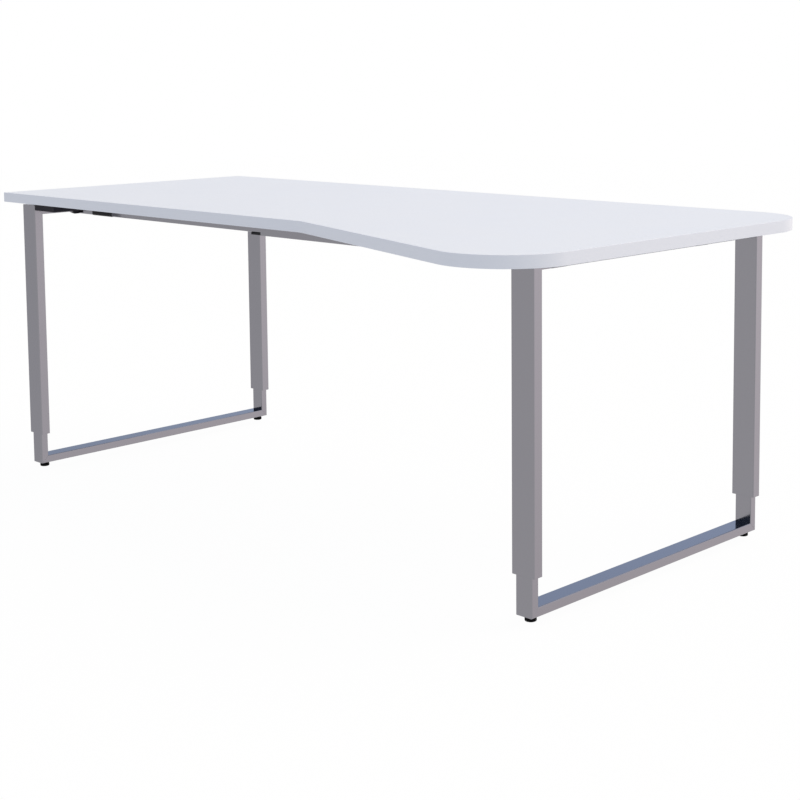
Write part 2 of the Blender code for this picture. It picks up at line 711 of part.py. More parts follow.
def make_guide_sleeve(end, side, materials, carriage):
    """Glide sleeve just inside the outer tube's mouth, round the upright."""
    seat = 2 * (TUBE_WALL + FIT_GAP)
    outer = rounded_rectangle(TUBE_WIDTH - seat, TUBE_DEPTH - seat, TUBE_CORNER)
    running = 2 * FIT_GAP
    bore = rounded_rectangle(
        UPRIGHT_WIDTH + running, UPRIGHT_DEPTH + running, UPRIGHT_CORNER + FIT_GAP,
    )
    top = SLEEVE_SETBACK + SLEEVE_HEIGHT
    form = skin([
        [(a, b, SLEEVE_SETBACK) for a, b in outer],
        [(a, b, top) for a, b in outer],
        [(a, b, top) for a, b in bore],
        [(a, b, SLEEVE_SETBACK) for a, b in bore],
    ], hollow=True)
    place = (LOOP_X[side], LEG_Y[end], TUBE_CLEARANCE)
    name = leg_name("guide_sleeve", end, side)
    add_piece(name, form, materials["black_plastic"], carriage, place)


def make_guide_shoe(end, side, materials, base):
    """Glide plug on top of the upright, which slides inside the outer tube."""
    bore_width = UPRIGHT_WIDTH - 2 * (UPRIGHT_WALL + FIT_GAP)
    bore_depth = UPRIGHT_DEPTH - 2 * (UPRIGHT_WALL + FIT_GAP)
    head_width = TUBE_WIDTH - 2 * (TUBE_WALL + FIT_GAP)
    head_depth = TUBE_DEPTH - 2 * (TUBE_WALL + FIT_GAP)
    neck = rounded_rectangle(bore_width, bore_depth, UPRIGHT_CORNER)
    head = rounded_rectangle(head_width, head_depth, UPRIGHT_CORNER)
    form = skin([
        [(a, b, -SHOE_NECK) for a, b in neck],
        [(a, b, FIT_GAP) for a, b in neck],
        [(a, b, FIT_GAP) for a, b in head],
        [(a, b, FIT_GAP + SHOE_HEAD) for a, b in head],
    ], hollow=False)
    place = (LOOP_X[side], LEG_Y[end], UPRIGHT_TOP)
    name = leg_name("guide_shoe", end, side)
    add_piece(name, form, materials["black_plastic"], base, place)


def make_clamp_nut(end, side, materials, carriage):
    """Rivet nut in the left face of one outer tube."""
    bore = CLAMP_RADIUS + FIT_GAP
    profile = [
        (bore, -NUT_FLANGE),
        (NUT_FLANGE_RADIUS, -NUT_FLANGE),
        (NUT_FLANGE_RADIUS, 0),
        (NUT_RADIUS, 0),
        (NUT_RADIUS, NUT_LENGTH),
        (bore, NUT_LENGTH),
    ]
    face = LOOP_X[side] - TUBE_WIDTH / 2 - FIT_GAP
    place = (face, LEG_Y[end], TUBE_CLEARANCE + CLAMP_HEIGHT)
    form = turned_ring(profile, ROUND_SIDES, along_x)
    add_piece(leg_name("clamp_nut", end, side), form, materials["zinc_steel"], carriage, place)


def make_clamp_screw(end, side, materials, carriage):
    """Button-head screw whose tip bears on the inner upright at the set height."""
    seat = -NUT_FLANGE - 2 * FIT_GAP
    tip = (TUBE_WIDTH - UPRIGHT_WIDTH) / 2 - FIT_GAP
    crown = CLAMP_HEAD_RADIUS - CLAMP_HEAD / 2
    profile = [
        (crown, seat - CLAMP_HEAD),
        (CLAMP_HEAD_RADIUS, seat - CLAMP_HEAD / 2),
        (CLAMP_HEAD_RADIUS, seat),
        (CLAMP_RADIUS, seat),
        (CLAMP_RADIUS, tip - CLAMP_RADIUS / 2),
        (CLAMP_RADIUS / 2, tip),
    ]
    form = turned(profile, ROUND_SIDES, along_x)
    place = (LOOP_X[side] - TUBE_WIDTH / 2, LEG_Y[end], TUBE_CLEARANCE + CLAMP_HEIGHT)
    name = leg_name("clamp_screw", end, side)
    add_piece(name, form, materials["zinc_steel"], carriage, place)


def make_base(side, materials):
    """Lower loop half: runner, uprights, guides and feet, which stays on the floor."""
    base = add_anchor("base_" + side, (LOOP_X[side], LOOP_MIDDLE_Y, 0))
    make_runner(side, materials, base)
    for end in ENDS:
        make_upright(end, side, materials, base)
        make_guide_shoe(end, side, materials, base)
        make_foot_insert(end, side, materials, base)
        make_foot(end, side, materials, base)


def make_carriage(materials):
    """Everything that rises and falls with the worktop."""
    carriage = add_anchor("height_carriage", (0, LOOP_MIDDLE_Y, UNDERSIDE))
    make_worktop(materials, carriage)
    for end in ENDS:
        make_beam(end, materials, carriage)
    for side in SIDES:
        make_side_rail(side, materials, carriage)
        for end in ENDS:
            make_outer_tube(end, side, materials, carriage)
            make_lug(end, side, materials, carriage)
            make_beam_bracket(end, side, materials, carriage)
            make_worktop_screws(end, side, materials, carriage)
            make_guide_sleeve(end, side, materials, carriage)
            make_clamp_nut(end, side, materials, carriage)
            make_clamp_screw(end, side, materials, carriage)


def main():
    clear_scene()
    materials = desk_materials()
    for side in SIDES:
        make_base(side, materials)
    make_carriage(materials)


main()
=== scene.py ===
"""Looks of the height-adjustable desk: finishes, fine shapes, studio and camera.

Metres, +X to the wide end of the worktop, +Y to its back edge, +Z up. Pieces take their places from
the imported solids, and each one is a surface worked out on a grid of two parameters.
"""
import math

import bpy
import numpy as np
from bpy.props import FloatProperty, FloatVectorProperty, PointerProperty, StringProperty
from mathutils import Matrix, Vector


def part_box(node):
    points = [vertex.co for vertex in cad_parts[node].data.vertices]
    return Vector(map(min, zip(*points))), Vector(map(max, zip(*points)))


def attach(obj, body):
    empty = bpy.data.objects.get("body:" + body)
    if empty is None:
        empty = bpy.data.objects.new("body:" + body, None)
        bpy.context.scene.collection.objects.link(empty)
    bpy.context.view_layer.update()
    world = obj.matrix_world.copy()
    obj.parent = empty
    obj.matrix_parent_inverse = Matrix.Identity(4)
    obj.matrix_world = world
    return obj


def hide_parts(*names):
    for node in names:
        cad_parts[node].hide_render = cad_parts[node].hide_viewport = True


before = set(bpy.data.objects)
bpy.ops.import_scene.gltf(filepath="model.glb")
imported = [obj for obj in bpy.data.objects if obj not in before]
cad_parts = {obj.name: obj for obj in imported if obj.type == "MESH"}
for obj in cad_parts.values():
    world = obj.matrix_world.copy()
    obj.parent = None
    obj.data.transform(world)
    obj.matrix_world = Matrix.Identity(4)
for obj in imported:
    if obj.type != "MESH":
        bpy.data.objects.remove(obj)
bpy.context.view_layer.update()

bl_info = {
    "name": "Height-adjustable desk",
    "version": (1, 0, 0),
    "blender": (4, 5, 0),
    "location": "3D View > Sidebar > Desk",
    "description": "Fine shapes and finishes of a height-adjustable desk, with its studio",
    "category": "Object",
}

MM = 0.001
SIDES = ("left", "right")
ENDS = ("front", "back")
CORNERS = [f"{end}_{side}" for side in SIDES for end in ENDS]
INWARD_X = {"left": 1, "right": -1}
INWARD_Y = {"front": 1, "back": -1}
TOP_BODY = "top_frame"
IMAGE_SIZE = 800

# For a piece along each axis, the columns of its rings (across, across, along) as X, Y and Z
AXIS_ORDER = {"x": [2, 0, 1], "y": [0, 2, 1], "z": [0, 1, 2]}
# Edges sharper than this stay sharp
SHARP_ANGLE = math.radians(34)

# Small hardware. Heads, shanks, bores and sleeves are radii
LENGTH_SCREW = {"head": 4.2 * MM, "proud": 2.5 * MM, "shank": 2.5 * MM, "depth": 3 * MM}
BRACKET_SCREW = {"head": 3.8 * MM, "proud": 2 * MM, "shank": 2 * MM, "depth": 9 * MM}
BOARD_SCREW = {"proud": 2.5 * MM, "shank": 2.2 * MM, "tip": 2 * MM}
CLAMP_SCREW = {"thick": 3.5 * MM, "shank": 3 * MM, "socket": 2 * MM, "tip": 1 * MM}
RIVET_NUT = {"bore": 3.2 * MM, "sleeve": 4.8 * MM, "thick": 1 * MM}
FOOT_INSERT = {"bore": 4.3 * MM, "sleeve": 6 * MM, "thick": 1.2 * MM, "lead": 0.3 * MM}
FLANGE_RIM = 0.4 * MM
LUG_CORNER = 8 * MM
LUG_RIM = 0.4 * MM

# Beam brackets
TRAY_CORNER = 2.5 * MM
TRAY_FOLD = 1.5 * MM
HOOK_EDGE = 1.5 * MM
HOOK_ROUND = 0.5 * MM
PLUG_CORNER = 1.5 * MM
PLUG_RIM = 0.5 * MM

# Levelling foot
FOOT_RIBS = 30
RIB_DEPTH = 0.012
THREAD_RADIUS = 4 * MM
THREAD_DEPTH = 0.55 * MM
THREAD_START = 8.2 * MM


# Finishes

def linear(code):
    """sRGB hex code to linear light: (c + 0.055) / 1.055 to the power 2.4 above the toe."""
    values = np.array([int(code[at:at + 2], 16) for at in (1, 3, 5)]) / 255
    curve = np.where(values <= 0.04045, values / 12.92, ((values + 0.055) / 1.055) ** 2.4)
    return (*(float(value) for value in curve), 1.0)


def add_node(tree, kind, inputs=None, **settings):
    """Adds a node; an input that is an output socket is linked, any other is set."""
    made = tree.nodes.new(kind)
    for name, value in settings.items():
        setattr(made, name, value)
    for name, value in (inputs or {}).items():
        if isinstance(value, bpy.types.NodeSocket):
            tree.links.new(value, made.inputs[name])
        else:
            made.inputs[name].default_value = value
    return made


def new_material(name):
    """Empty node material, its tree and its output."""
    material = bpy.data.materials.new(name)
    material.use_nodes = True
    tree = material.node_tree
    tree.nodes.clear()
    return material, tree, tree.nodes.new("ShaderNodeOutputMaterial")


def finish_material(name, colour, shade, grain, relief, roughness, spread, **constant):
    """Principled finish: two tones of one colour, a grain that lifts the surface, and a haze.

    grain is the size of a grain in metres, relief its height. The haze, in patches about 110 mm
    across, changes the roughness by spread.
    """
    material, tree, output = new_material(name)
    place = add_node(tree, "ShaderNodeTexCoord").outputs["Object"]
    speckle = add_node(tree, "ShaderNodeTexNoise", {
        "Vector": place, "Scale": 1 / grain, "Detail": 2.0, "Roughness": 0.55,
    })
    haze = add_node(tree, "ShaderNodeTexNoise", {
        "Vector": place, "Scale": 9.0, "Detail": 3.0, "Roughness": 0.6,
    })
    tone = add_node(tree, "ShaderNodeMix", {
        0: speckle.outputs["Fac"], 6: linear(colour), 7: linear(shade),
    }, data_type="RGBA")
    rough = add_node(tree, "ShaderNodeMapRange", {
        "Value": haze.outputs["Fac"], "From Min": 0.3, "From Max": 0.7,
        "To Min": roughness - spread, "To Max": roughness + spread,
    })
    bump = add_node(tree, "ShaderNodeBump", {
        "Height": speckle.outputs["Fac"], "Distance": relief,
    })
    shader = add_node(tree, "ShaderNodeBsdfPrincipled", {
        "Base Color": tone.outputs[2], "Roughness": rough.outputs["Result"],
        "Normal": bump.outputs["Normal"], **constant,
    })
    tree.links.new(shader.outputs[0], output.inputs["Surface"])
    return material


def melamine_laminate(look):
    """Melamine-faced chipboard, pressed with a pearl texture: white, evenly matt, softly lit."""
    return finish_material(
        "melamine_laminate", look.laminate, look.laminate_shade, grain=1.4 * MM,
        relief=0.012 * MM, roughness=0.42, spread=0.04, IOR=1.5)


def abs_edging(look):
    """ABS edging, extruded and scraped flush: a little glossier than the faces it borders."""
    return finish_material(
        "abs_edging", look.edging, look.edging_shade, grain=2.2 * MM,
        relief=0.008 * MM, roughness=0.36, spread=0.04, IOR=1.53)


def silver_lacquer(look):
    """Steel tube in smooth silver lacquer, baked: clear mirror images with a slight haze.

    Its flakes of a twentieth of a millimetre wouldn't show, so they are drawn 0.9 mm across.
    """
    return finish_material(
        "silver_lacquer", look.silver, look.silver_shade, grain=0.9 * MM,
        relief=0.0006 * MM, roughness=look.silver_roughness, spread=0.02, Metallic=1.0)


def zinc_plate(look):
    """Turned and pressed steel, bright zinc plated: pale, faintly mottled, half dull.

    The plate's crystals are finer than 0.2 mm, and are drawn at 0.8 mm so that they show.
    """
    return finish_material(
        "zinc_plate", look.zinc, look.zinc_shade, grain=0.8 * MM,
        relief=0.004 * MM, roughness=0.34, spread=0.06, Metallic=1.0)


def black_powder_coat(look):
    """Pressed steel in fine-texture black powder: charcoal with a broken, sandy highlight.

    Its grit of about 0.3 mm is drawn at 0.6 mm so that it shows.
    """
    return finish_material(
        "black_powder_coat", look.powder, look.powder_shade, grain=0.6 * MM,
        relief=0.030 * MM, roughness=0.55, spread=0.05, **{"Specular IOR Level": 0.22})


def black_nylon(look):
    """Injection-moulded black nylon: near black, satin, with a faint sparked texture.

    The sparks of about 0.1 mm are drawn at 0.5 mm so that they show.
    """
    return finish_material(
        "black_nylon", look.nylon, look.nylon_shade, grain=0.5 * MM,
        relief=0.010 * MM, roughness=0.42, spread=0.05, **{"Specular IOR Level": 0.20})


def black_foot_painted_shade(look):
    """Levelling foot, moulded in black polyethylene: deep black, waxy, with hardly any shine; its black,
    darker than the nylon's, is painted shade for the shade under the runner.
    """
    return finish_material(
        "black_foot_painted_shade", look.foot, look.foot_shade, grain=0.8 * MM,
        relief=0.010 * MM, roughness=0.50, spread=0.05, **{"Specular IOR Level": 0.06})


FINISHES = {
    "white_laminate": melamine_laminate,
    "white_edging": abs_edging,
    "silver_frame": silver_lacquer,
    "zinc_steel": zinc_plate,
    "black_coat": black_powder_coat,
    "black_plastic": black_nylon,
}


def made_finish(recipe):
    """One finish, named for the function that makes it the first time that a piece asks for it."""
    found = bpy.data.materials.get(recipe.__name__)
    return found or recipe(bpy.context.scene.desk_looks)


# Surfaces

def grid_faces(rows, columns, wrap_rows):
    """Quads between neighbours of a grid whose columns close, and whose rows may close too."""
    row = np.arange(rows if wrap_rows else rows - 1)[:, None]
    column = np.arange(columns)[None, :]
    row_after = (row + 1) % rows
    column_after = (column + 1) % columns
    quads = np.stack([
        row * columns + column, row * columns + column_after,
        row_after * columns + column_after, row_after * columns + column,
    ], -1)
    return quads.reshape(-1, 4)


def six_volumes(points, faces):
    """Six times the volume: over fans of triangles, the sum of p0 . (p1 x p2)."""
    fans = points[faces]
    normals = np.cross(fans[:, 1:-1], fans[:, 2:])
    return float(np.einsum("ik,ijk->", fans[:, 0], normals))


def shell(rings, axis, centre, hollow=False):
    """Closed surface through rings of points, turned along an axis and moved to its centre.

    It is capped at both ends, or hollow, where its last ring joins its first.
    """
    rings = np.asarray(rings, float)[..., AXIS_ORDER[axis]] + np.asarray(centre, float)
    count, around = rings.shape[:2]
    points = rings.reshape(-1, 3)
    faces = [grid_faces(count, around, hollow)]
    if not hollow:
        faces.append(np.arange(around)[None, ::-1])
        faces.append(np.arange(around)[None, :] + (count - 1) * around)
    if sum(six_volumes(points, part) for part in faces) < 0:
        faces = [part[:, ::-1] for part in faces]
    return points, faces


def make_piece(name, shells, slot, body, replaced=(), recipe=None):
    """Object at the origin from closed shells, with its finish, that rides on a body."""
    points, faces, start = [], [], 0
    for part_points, part_faces in shells:
        points.append(part_points)
        for part in part_faces:
            faces.extend((part + start).tolist())
        start += len(part_points)
    mesh = bpy.data.meshes.new(name)
    mesh.from_pydata(np.concatenate(points).tolist(), [], faces)
    mesh.shade_smooth()
    mesh.set_sharp_from_angle(angle=SHARP_ANGLE)
    mesh.materials.append(made_finish(recipe or FINISHES[slot]))
    piece = bpy.data.objects.new(name, mesh)
    bpy.context.scene.collection.objects.link(piece)
    flat = piece.modifiers.new("flat_faces", "WEIGHTED_NORMAL")
    flat.keep_sharp = True
    flat.weight = 100
    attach(piece, body)
    if replaced:
        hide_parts(*replaced)
    return piece


def box_of(node):
    """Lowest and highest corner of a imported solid, as arrays."""
    low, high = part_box(node)
    return np.array(low), np.array(high)


def centre_line(node, axis):
    """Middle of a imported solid, with nought along one axis."""
    low, high = box_of(node)
    middle = (low + high) / 2
    middle["xyz".index(axis)] = 0
    return middle


def turned_span(node, axis):
    """Radius of a turned solid, and its start and end along its axis."""
    low, high = box_of(node)
    along = "xyz".index(axis)
    across = (along + 1) % 3
    return (high[across] - low[across]) / 2, low[along], high[along]


def raised(outline, along):
    """A flat outline as a ring, at one place along its axis."""
    return np.column_stack([outline, np.full(len(outline), along)])


def chamfered(low, high, rim):
    """Offset inwards and place along the axis, over a bar whose two ends lose a rim."""
    return (rim, low), (0, low + rim), (0, high - rim), (rim, high)


def rounded_outline(width, depth, radius, steps=8):
    """Rounded rectangle about the middle: at each corner, centre + radius (cos t, sin t)."""
    quarters = np.arange(4)[:, None] * np.pi / 2
    turn = quarters + np.linspace(0, np.pi / 2, steps + 1)[None, :]
    signs = np.array([[1, 1], [-1, 1], [-1, -1], [1, -1]])[:, None, :]
    centre = signs * (np.array([width, depth]) / 2 - radius)
    return (centre + radius * np.stack([np.cos(turn), np.sin(turn)], -1)).reshape(-1, 2)


def tube_shell(size, wall, radius, start, end, rim, axis, centre):
    """Rectangular tube whose cut ends have a narrow chamfered rim.

    Each ring is the rounded outline drawn in by an offset. It goes out along the outer wall, over
    one rim, back along the inner wall and over the other. start and end are a place along the
    axis and a slope across it: 0 for a square cut, 1 or -1 for a mitre at 45 degrees. wall may be
    one width or a pair of them.
    """
    stations = (
        (0, start, rim), (0, end, -rim), (rim, end, 0), (wall - rim, end, 0),
        (wall, end, -rim), (wall, start, rim), (wall - rim, start, 0), (rim, start, 0),
    )
    rings = []
    for offset, (place, slope), shift in stations:
        inner_radius = max(radius - np.min(offset), radius / 4)
        outline = rounded_outline(*(np.array(size) - 2 * offset), inner_radius)
        rings.append(np.column_stack([outline, place + slope * outline[:, 1] + shift]))
    return shell(rings, axis, centre, hollow=True)


def stepped_rings(size, radius, least, profile):
    """Rounded rectangle, drawn in by an offset and raised at each step of a profile."""
    return [
        raised(rounded_outline(*(np.array(size) - 2 * offset), max(radius - offset, least)), along)
        for offset, along in profile
    ]


def plate_shell(size, radius, low, high, rim, axis, centre):
    """Flat plate with round corners: its outline, drawn in by the rim at both faces."""
    rings = stepped_rings(size, radius, rim / 2, chamfered(low, high, rim))
    return shell(rings, axis, centre)


def tray_shell(size, radius, wall, low, high, fold, centre):
    """Open-topped tray, round where its floor turns up into its walls, and level at its rim.

    The outline is drawn in by an offset: r (1 - cos t) at a height of r (1 - sin t) round the
    floor's outer fold, nothing up the wall, then the wall's thickness on the way back down.
    """
    turn = np.linspace(np.pi / 2, 0, 5)
    outer = [(fold * (1 - np.cos(t)), low + fold * (1 - np.sin(t))) for t in turn]
    inner = [(wall + offset, wall + height) for offset, height in outer[::-1]]
    edge = wall / 6
    rim = [(0, high - edge), (edge, high), (wall - edge, high), (wall, high - edge)]
    return shell(stepped_rings(size, radius, radius / 6, outer + rim + inner), "z", centre)


def corner_edges(points):
    """Unit vectors along the edge before and the edge after each corner of a polygon."""
    after = np.roll(points, -1, axis=0) - points
    after = after / np.linalg.norm(after, axis=1, keepdims=True)
    return np.roll(after, 1, axis=0), after


def rounded_polygon(corners, radius, steps=5):
    """Polygon with an arc at each corner, which leaves its edge r tan(a / 2) before the corner."""
    before, after = corner_edges(corners)
    cross = before[:, 0] * after[:, 1] - before[:, 1] * after[:, 0]
    turn = np.arctan2(cross, (before * after).sum(1))
    start = corners - before * (radius * np.tan(np.abs(turn) / 2))[:, None]
    spoke = np.column_stack([before[:, 1], -before[:, 0]]) * (radius * np.sign(turn))[:, None]
    swept = np.linspace(0, 1, steps + 1)[None, :] * turn[:, None]
    arcs = np.stack([
        spoke[:, :1] * np.cos(swept) - spoke[:, 1:] * np.sin(swept),
        spoke[:, :1] * np.sin(swept) + spoke[:, 1:] * np.cos(swept),
    ], -1)
    return ((start - spoke)[:, None, :] + arcs).reshape(-1, 2)


def drawn_in(points, distance):
    """Anticlockwise polygon moved inwards: by d (m + n) / (1 + m . n), of its edges' normals."""
    before, after = corner_edges(points)
    normals = [np.column_stack([-edge[:, 1], edge[:, 0]]) for edge in (before, after)]
    share = 1 + (normals[0] * normals[1]).sum(1, keepdims=True)
    return points + distance * (normals[0] + normals[1]) / share


def prism_shell(corners, radius, low, high, rim, axis, centre):
    """Bar with the section of a rounded polygon, whose two ends are chamfered by the rim."""
    corners = np.asarray(corners, float)
    area = np.cross(corners, np.roll(corners, -1, axis=0)).sum()
    outline = rounded_polygon(corners if area > 0 else corners[::-1], radius)
    rings = [raised(drawn_in(outline, inset), along)
             for inset, along in chamfered(low, high, rim)]
    return shell(rings, axis, centre)


def hexagon(turn):
    """Radius of a hexagon round the unit circle: 1 / cos of the angle to the nearest flat."""
    return 1 / np.cos((turn % (np.pi / 3)) - np.pi / 6)


def cross_recess(turn):
    """Radius of a four-winged driver recess: 0.42 + 0.58 |cos 2 t| cubed."""
    return 0.42 + 0.58 * np.abs(np.cos(2 * turn)) ** 3


def ribbed(turn):
    """Radius of a rim with finger grooves: 1 - depth (1 - cos of the ribs times t)."""
    return 1 - RIB_DEPTH * (1 - np.cos(FOOT_RIBS * turn))


def turned_shell(profile, axis, centre, sides=48, hollow=False):
    """Surface of revolution: r (cos t, sin t) at each height, r shaped by the ring's own form."""
    turn = np.linspace(0, 2 * np.pi, sides, endpoint=False)
    rings = []
    for radius, height, *form in profile:
        reach = radius * (form[0](turn) if form else np.ones(sides))
        circle = np.column_stack([reach * np.cos(turn), reach * np.sin(turn)])
        rings.append(raised(circle, height))
    return shell(rings, axis, centre, hollow)


def thread_shell(radius, depth, pitch, low, high, axis, centre):
    """Screw thread: r = radius - depth |2 frac(z / pitch - t / 2 pi) - 1|, flat at both ends."""
    sides, rings_per_turn = 36, 6
    turn = np.linspace(0, 2 * np.pi, sides, endpoint=False)[None, :]
    rows = max(int((high - low) / pitch * rings_per_turn), rings_per_turn)
    height = np.linspace(low, high, rows)[:, None]
    phase = (height / pitch - turn / (2 * np.pi)) % 1.0
    fade = np.clip(np.minimum(height - low, high - height) / pitch, 0, 1)
    reach = radius - depth * (1 - fade * (1 - np.abs(2 * phase - 1)))
    rings = np.stack([
        reach * np.cos(turn), reach * np.sin(turn), np.broadcast_to(height, reach.shape),
    ], -1)
    return shell(rings, axis, centre)


def pan_head(face, outward, axis, centre, head, proud, shank, depth, tip=0):
    """Pan-head screw on a face, with a four-winged recess; outward is its head's direction.

    A profile of radius against distance from the face: a shank, with a point of the length tip
    if it has one, and a head that draws in to half its radius at its crown.
    """
    profile = [(0.4 * shank, -depth)] if tip else []
    profile += [
        (shank, tip - depth), (shank, 0), (head, 0), (head, 0.5 * proud),
        (0.8 * head, 0.92 * proud), (0.55 * head, proud),
        (0.5 * head, proud, cross_recess), (0.4 * head, 0.3 * proud, cross_recess),
    ]
    on_face = [(radius, face + outward * height, *form) for radius, height, *form in profile]
    return turned_shell(on_face, axis, centre)


def flanged_sleeve(node, axis, bore, sleeve, thick, lead=0):
    """Sleeve with a flange that is chamfered at its rim; lead is the chamfer on its bore."""
    flange, start, end = turned_span(node, axis)
    profile = [
        (bore + lead, start), (flange - FLANGE_RIM, start), (flange, start + FLANGE_RIM),
        (flange, start + thick), (sleeve, start + thick), (sleeve, end), (bore, end),
    ]
    if lead:
        profile.append((bore, start + lead))
    return turned_shell(profile, axis, centre_line(node, axis), hollow=True)


# Settings

class DeskLooks(bpy.types.PropertyGroup):
    """Colours of the finishes, as sRGB codes."""

    laminate: StringProperty(
        name="Laminate", description="White of the worktop faces", default="#EAEDF1")
    laminate_shade: StringProperty(
        name="Laminate grain", description="Darker tone of the pearl grain", default="#E4E8ED")
    edging: StringProperty(
        name="Edging", description="White of the edge band", default="#E8EAF0")
    edging_shade: StringProperty(
        name="Edging grain", description="Darker tone of the edge band", default="#E2E5EC")
    silver: StringProperty(
        name="Silver", description="Lighter flake of the frame lacquer", default="#929297")
    silver_shade: StringProperty(
        name="Silver shade", description="Darker flake of the frame lacquer", default="#85868C")
    silver_roughness: FloatProperty(
        name="Silver haze", description="Roughness of the frame lacquer", default=0.13, min=0.02,
        max=1.0)
    zinc: StringProperty(
        name="Zinc", description="Lighter tone of zinc plate", default="#C2C5C8")
    zinc_shade: StringProperty(
        name="Zinc shade", description="Darker tone of zinc plate", default="#A7ABB0")
    powder: StringProperty(
        name="Powder coat", description="Black of the beam brackets", default="#1C1A24")
    powder_shade: StringProperty(
        name="Powder shade", description="Darker grain of the brackets", default="#14121B")
    nylon: StringProperty(
        name="Nylon", description="Black of sleeves, collars and guides", default="#0F1017")
    nylon_shade: StringProperty(
        name="Nylon shade", description="Darker grain of the nylon", default="#0A0A0C")
    # Painted shade: the feet's black is darker than the nylon's, for the shade that falls under the
    # runner
    foot: StringProperty(
        name="Foot", description="Black of the levelling feet", default="#0A0A0C")
    foot_shade: StringProperty(
        name="Foot shade", description="Darker tone of the levelling feet", default="#050506")


class DeskWorktop(bpy.types.PropertyGroup):
    """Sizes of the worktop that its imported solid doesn't give as a corner of its box."""

    straight_front: FloatProperty(
        name="Straight front", description="Left end to the start of the bend", default=1.200,
        unit="LENGTH")
    narrow_depth: FloatProperty(
        name="Narrow depth", description="Back edge to the straight front edge", default=0.800,
        unit="LENGTH")
    bend_radius: FloatProperty(
        name="Bend radius", description="Round of the bend in the front edge", default=0.100,
        unit="LENGTH")
    front_corner: FloatProperty(
        name="Front corner", description="Radius of the wide end's front corner", default=0.145,
        unit="LENGTH")
    back_corner: FloatProperty(
        name="Back corner", description="Radius of the wide end's back corner", default=0.140,
        unit="LENGTH")
    band: FloatProperty(
        name="Edging", description="Thickness of the edge band", default=0.002, unit="LENGTH")
    arris: FloatProperty(
        name="Arris", description="Round on the edge band's long edges", default=0.0007, unit="LENGTH")
    seam: FloatProperty(
        name="Seam", description="Fine groove between edging and laminate", default=0.00012,
        unit="LENGTH")


class DeskFrame(bpy.types.PropertyGroup):
    """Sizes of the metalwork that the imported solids' boxes don't give."""

    tube_wall: FloatProperty(
        name="Wall", description="Wall of the leg tubes", default=0.0015, unit="LENGTH")
    tube_corner: FloatProperty(
        name="Tube corner", description="Outer corner of the outer tubes", default=0.002, unit="LENGTH")
    upright_corner: FloatProperty(
        name="Upright corner", description="Outer corner of the inner tubes", default=0.0018,
        unit="LENGTH")
    beam_wall: FloatProperty(
        name="Beam wall", description="Wall of the cross beams", default=0.002, unit="LENGTH")
    beam_corner: FloatProperty(
        name="Beam corner", description="Outer corner of the cross beams", default=0.003, unit="LENGTH")
    rim: FloatProperty(
        name="Rim", description="Chamfer on cut tube ends", default=0.0002, unit="LENGTH")
    fit: FloatProperty(
        name="Fit", description="Gap between parts that slide or plug in", default=0.0003, unit="LENGTH")
    length_screw_place: FloatProperty(
        name="Length screw place", description="Wide beam's mouth to its length screw", default=0.015,
        unit="LENGTH")
    sleeve_start: FloatProperty(
        name="Sleeve start", description="Slim beam's end to its black sleeve", default=0.065,
        unit="LENGTH")
    sleeve_length: FloatProperty(
        name="Sleeve length", description="Length of the black sleeve", default=0.088, unit="LENGTH")
    sleeve_wall: FloatProperty(
        name="Sleeve wall", description="Thickness of the black sleeve", default=0.0008, unit="LENGTH")
    bracket_plate: FloatProperty(
        name="Bracket plate", description="Thickness of the bracket plates", default=0.003,
        unit="LENGTH")
    bracket_drop: FloatProperty(
        name="Tray drop", description="Underside of the worktop to the bottom of a tray", default=0.017,
        unit="LENGTH")
    bracket_margin: FloatProperty(
        name="Bracket margin", description="Bracket plate beyond the beam's face", default=0.009,
        unit="LENGTH")
    plug_depth: FloatProperty(
        name="Plug depth", description="How far a bracket's plug enters the beam", default=0.016,
        unit="LENGTH")
    bracket_screw_height: FloatProperty(
        name="Bracket screw height", description="Underside of the rail to the bracket screws",
        default=0.006, unit="LENGTH")
    tray_beam_gap: FloatProperty(
        name="Tray gap", description="Tray to the wide beam's face", default=0.004, unit="LENGTH")
    thread_pitch: FloatProperty(
        name="Foot thread", description="Pitch of the feet's threads", default=0.00125, unit="LENGTH")


class DeskStudio(bpy.types.PropertyGroup):
    """Camera and lights."""

    eye: FloatVectorProperty(
        name="Eye", description="Place of the camera", subtype="TRANSLATION",
        default=(2.7195, -2.4596, 1.0663))
    yaw: FloatProperty(
        name="Yaw", description="Turn of the view to the left of +Y", subtype="ANGLE", default=0.76793)
    pitch: FloatProperty(
        name="Pitch", description="Fall of the view below the horizon", subtype="ANGLE", default=0.10006)
    roll: FloatProperty(
        name="Roll", description="Turn of the view about its own axis", subtype="ANGLE",
        default=-0.00746)
    focal_pixels: FloatProperty(
        name="Focal length", description="Focal length in image pixels", default=1538.48)
    centre_pixels: FloatVectorProperty(
        name="Optical centre", description="Image point on the lens axis", size=2,
        default=(440.0, 222.0))
    floor_level: FloatProperty(
        name="Floor level", description="Floor, as low as a foot reaches when it is screwed out",
        default=-0.0101, unit="LENGTH")
    ambient: FloatProperty(
        name="Ambient", description="Even light from all round", default=0.665)
    key: FloatProperty(
        name="Key", description="Strength of the broad light above the wide end", default=1.72)
    key_spread: FloatProperty(
        name="Key spread", description="Angle that the broad light fills", subtype="ANGLE",
        default=math.radians(50))
    key_colour: StringProperty(
        name="Key colour", description="Colour of the broad light", default="#FFEED7")


# Worktop

